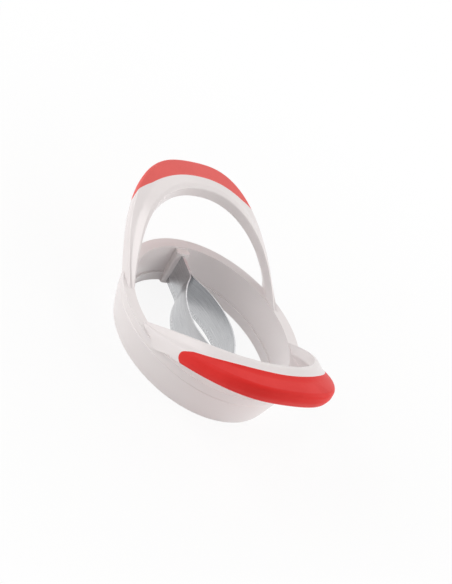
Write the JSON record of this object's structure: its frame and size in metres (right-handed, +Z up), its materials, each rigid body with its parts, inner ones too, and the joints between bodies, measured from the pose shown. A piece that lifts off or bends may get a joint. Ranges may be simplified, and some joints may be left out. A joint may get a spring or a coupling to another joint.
{
  "type": "mango slicer",
  "caption": "Hand-pressed mango slicer: an oval ring with raised hoop handles, soft grips and a lens-shaped pit cutter of thin steel blades.",
  "frame": {"origin": "middle of the base face, where the ring stands on the board", "axes": "+Z up, +X from the middle towards the near handle, +Y to the right-hand side seen from the camera, across the pit blades"},
  "size_m": [0.1884, 0.1088, 0.06],
  "materials": {
    "base_ring": "moulded, satin gloss, warm white",
    "handle_frame": "moulded, satin gloss, warm white",
    "near_grip": "soft-touch overmould, red, satin",
    "far_grip": "soft-touch overmould, red, satin",
    "left_blade": "stainless strip, finely brushed, sharpened lower edge",
    "right_blade": "stainless strip, finely brushed, sharpened lower edge"
  },
  "bodies": {
    "root": {"base_ring": "base_ring", "handle_frame": "handle_frame", "near_grip": "near_grip", "far_grip": "far_grip", "left_blade": "left_blade", "right_blade": "right_blade"}
  },
  "joints": []
}
